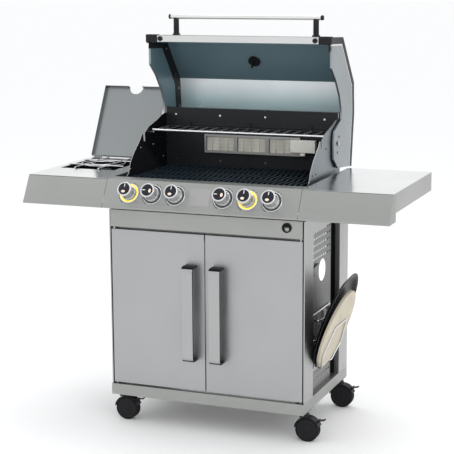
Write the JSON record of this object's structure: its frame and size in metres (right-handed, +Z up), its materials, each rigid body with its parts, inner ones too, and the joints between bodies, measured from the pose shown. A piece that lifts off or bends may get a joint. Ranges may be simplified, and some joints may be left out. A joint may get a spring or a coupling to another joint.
{
  "type": "gas barbecue grill",
  "caption": "Wheeled gas barbecue grill with a hinged lid, a two-door cabinet, side shelves with a lidded side burner, and a pizza stone and pan on a side rack.",
  "frame": {"origin": "middle of the overall width and depth, on the floor, with both lids raised", "axes": "+X to the user's right as they face the grill, +Y from the front to the back, +Z up"},
  "size_m": [1.354, 0.7048, 1.464],
  "materials": {
    "stainless": "fine horizontal brushing",
    "dark_steel": "black powder coat",
    "black_plastic": "fine mould grain",
    "zinc_steel": "zinc plated",
    "black_enamel": "vitreous enamel",
    "burner_ceramic": "perforated ceramic in a steel frame",
    "beige_enamel": "heat-tinted enamel",
    "brass": "machined",
    "chrome": "polished",
    "handle_steel": "polished, fine brushing along the bar",
    "cast_aluminium": "as cast",
    "cast_iron": "matt enamelled",
    "grey_caps": "satin",
    "stone": "fine sandy cordierite",
    "wheel_rubber": "satin"
  },
  "bodies": {
    "root": {"base_tray": "stainless", "cart_frame": "stainless", "side_channels": "dark_steel", "left_side_panel": "stainless", "right_side_panel": "stainless", "front_fascia": "stainless", "bottle_opener": "black_plastic", "hinge_pins": "zinc_steel", "caster_plates": "black_plastic", "firebox_side_plates": "black_enamel", "firebox_tub": "black_enamel", "rear_wall": "black_enamel", "rear_burner": "burner_ceramic", "igniter_box": "beige_enamel", "main_burners": "stainless", "flame_tamers": "black_enamel", "gas_manifold": "brass", "control_panel": "stainless", "knob_bezels": "chrome", "left_shelf": "stainless", "right_shelf": "stainless", "shelf_fascias": "stainless", "side_burner_bowl": "black_enamel", "side_burner_head": "cast_aluminium", "side_burner_grate": "chrome", "accessory_rack": "chrome"},
    "lid": {"lid_shell": "stainless", "lid_end_caps": "grey_caps", "lid_rim_trim": "chrome", "lid_handle": "handle_steel", "thermometer": "chrome"},
    "side_lid": {"side_burner_lid": "stainless"},
    "door_left": {"left_door": "stainless", "left_door_handle": "handle_steel"},
    "door_right": {"right_door": "stainless", "right_door_handle": "handle_steel"},
    "rack": {"warming_rack": "chrome"},
    "left_grate": {"grate_left": "cast_iron"},
    "right_grate": {"grate_right": "cast_iron"},
    "tray": {"grease_tray": "stainless"},
    "stone_body": {"pizza_stone": "stone"},
    "pan_body": {"round_pan": "black_enamel"},
    "knob_body_1": {"knob_1": "chrome"},
    "knob_body_2": {"knob_2": "chrome"},
    "knob_body_3": {"knob_3": "chrome"},
    "knob_body_4": {"knob_4": "chrome"},
    "knob_body_5": {"knob_5": "chrome"},
    "knob_body_6": {"knob_6": "chrome"},
    "caster_fl": {"fork_fl": "black_plastic"},
    "wheelset_fl": {"wheels_fl": "wheel_rubber"},
    "pedal_fl": {"brake_fl": "black_plastic"},
    "caster_fr": {"fork_fr": "black_plastic"},
    "wheelset_fr": {"wheels_fr": "wheel_rubber"},
    "pedal_fr": {"brake_fr": "black_plastic"},
    "caster_rl": {"fork_rl": "black_plastic"},
    "wheelset_rl": {"wheels_rl": "wheel_rubber"},
    "pedal_rl": {"brake_rl": "black_plastic"},
    "caster_rr": {"fork_rr": "black_plastic"},
    "wheelset_rr": {"wheels_rr": "wheel_rubber"},
    "pedal_rr": {"brake_rr": "black_plastic"}
  },
  "joints": [
    {"name": "lid_hinge", "type": "hinge", "parent": "root", "child": "lid", "pos_m": [0, 0.14996, 1.007], "axis": [1, 0, 0], "range_deg": [0, 90]},
    {"name": "side_lid_hinge", "type": "hinge", "parent": "root", "child": "side_lid", "pos_m": [-0.537, 0.20096, 0.9095], "axis": [1, 0, 0], "range_deg": [0, 118]},
    {"name": "left_door_hinge", "type": "hinge", "parent": "root", "child": "door_left", "pos_m": [-0.351, -0.24704, 0.436], "axis": [0, 0, -1], "range_deg": [0, 110]},
    {"name": "right_door_hinge", "type": "hinge", "parent": "root", "child": "door_right", "pos_m": [0.351, -0.24704, 0.436], "axis": [0, 0, 1], "range_deg": [0, 110]},
    {"name": "grate_left_lift", "type": "slide", "parent": "root", "child": "left_grate", "axis": [0, 0, -1], "range_m": [-0.04, 0]},
    {"name": "grate_right_lift", "type": "slide", "parent": "root", "child": "right_grate", "axis": [0, 0, -1], "range_m": [-0.04, 0]},
    {"name": "warming_rack_lift", "type": "slide", "parent": "root", "child": "rack", "axis": [0, 0, -1], "range_m": [-0.08, 0]},
    {"name": "grease_tray_slide", "type": "slide", "parent": "root", "child": "tray", "axis": [0, 1, 0], "range_m": [0, 0.3]},
    {"name": "pizza_stone_lift", "type": "slide", "parent": "root", "child": "stone_body", "axis": [-0.3322, 0, -0.9432], "range_m": [-0.15, 0]},
    {"name": "round_pan_lift", "type": "slide", "parent": "root", "child": "pan_body", "axis": [-0.3322, 0, -0.9432], "range_m": [-0.15, 0]},
    {"name": "knob_1_turn", "type": "hinge", "parent": "root", "child": "knob_body_1", "pos_m": [-0.265, -0.29604, 0.86], "axis": [0, -0.8747, 0.4847], "range_deg": [0, 180]},
    {"name": "knob_2_turn", "type": "hinge", "parent": "root", "child": "knob_body_2", "pos_m": [-0.177, -0.29604, 0.86], "axis": [0, -0.8747, 0.4847], "range_deg": [-90, 90]},
    {"name": "knob_3_turn", "type": "hinge", "parent": "root", "child": "knob_body_3", "pos_m": [-0.089, -0.29604, 0.86], "axis": [0, -0.8747, 0.4847], "range_deg": [0, 180]},
    {"name": "knob_4_turn", "type": "hinge", "parent": "root", "child": "knob_body_4", "pos_m": [0.089, -0.29604, 0.86], "axis": [0, -0.8747, 0.4847], "range_deg": [-90, 90]},
    {"name": "knob_5_turn", "type": "hinge", "parent": "root", "child": "knob_body_5", "pos_m": [0.177, -0.29604, 0.86], "axis": [0, -0.8747, 0.4847], "range_deg": [0, 180]},
    {"name": "knob_6_turn", "type": "hinge", "parent": "root", "child": "knob_body_6", "pos_m": [0.265, -0.29604, 0.86], "axis": [0, -0.8747, 0.4847], "range_deg": [0, 180]},
    {"name": "swivel_fl", "type": "hinge", "parent": "root", "child": "caster_fl", "pos_m": [-0.348, -0.19304, 0.098], "axis": [0, 0, 1], "continuous": true},
    {"name": "axle_fl", "type": "hinge", "parent": "caster_fl", "child": "wheelset_fl", "pos_m": [-0.336, -0.19304, 0.0425], "axis": [0, 1, 0], "continuous": true},
    {"name": "brake_fl", "type": "hinge", "parent": "caster_fl", "child": "pedal_fl", "pos_m": [-0.2954, -0.19304, 0.07657], "axis": [0, 1, 0], "range_deg": [0, 20]},
    {"name": "swivel_fr", "type": "hinge", "parent": "root", "child": "caster_fr", "pos_m": [0.348, -0.19304, 0.098], "axis": [0, 0, 1], "continuous": true},
    {"name": "axle_fr", "type": "hinge", "parent": "caster_fr", "child": "wheelset_fr", "pos_m": [0.36, -0.19304, 0.0425], "axis": [0, 1, 0], "continuous": true},
    {"name": "brake_fr", "type": "hinge", "parent": "caster_fr", "child": "pedal_fr", "pos_m": [0.4006, -0.19304, 0.07657], "axis": [0, 1, 0], "range_deg": [0, 20]},
    {"name": "swivel_rl", "type": "hinge", "parent": "root", "child": "caster_rl", "pos_m": [-0.348, 0.21896, 0.098], "axis": [0, 0, 1], "continuous": true},
    {"name": "axle_rl", "type": "hinge", "parent": "caster_rl", "child": "wheelset_rl", "pos_m": [-0.336, 0.21896, 0.0425], "axis": [0, 1, 0], "continuous": true},
    {"name": "brake_rl", "type": "hinge", "parent": "caster_rl", "child": "pedal_rl", "pos_m": [-0.2954, 0.21896, 0.07657], "axis": [0, 1, 0], "range_deg": [0, 20]},
    {"name": "swivel_rr", "type": "hinge", "parent": "root", "child": "caster_rr", "pos_m": [0.348, 0.21896, 0.098], "axis": [0, 0, 1], "continuous": true},
    {"name": "axle_rr", "type": "hinge", "parent": "caster_rr", "child": "wheelset_rr", "pos_m": [0.36, 0.21896, 0.0425], "axis": [0, 1, 0], "continuous": true},
    {"name": "brake_rr", "type": "hinge", "parent": "caster_rr", "child": "pedal_rr", "pos_m": [0.4006, 0.21896, 0.07657], "axis": [0, 1, 0], "range_deg": [0, 20]}
  ]
}
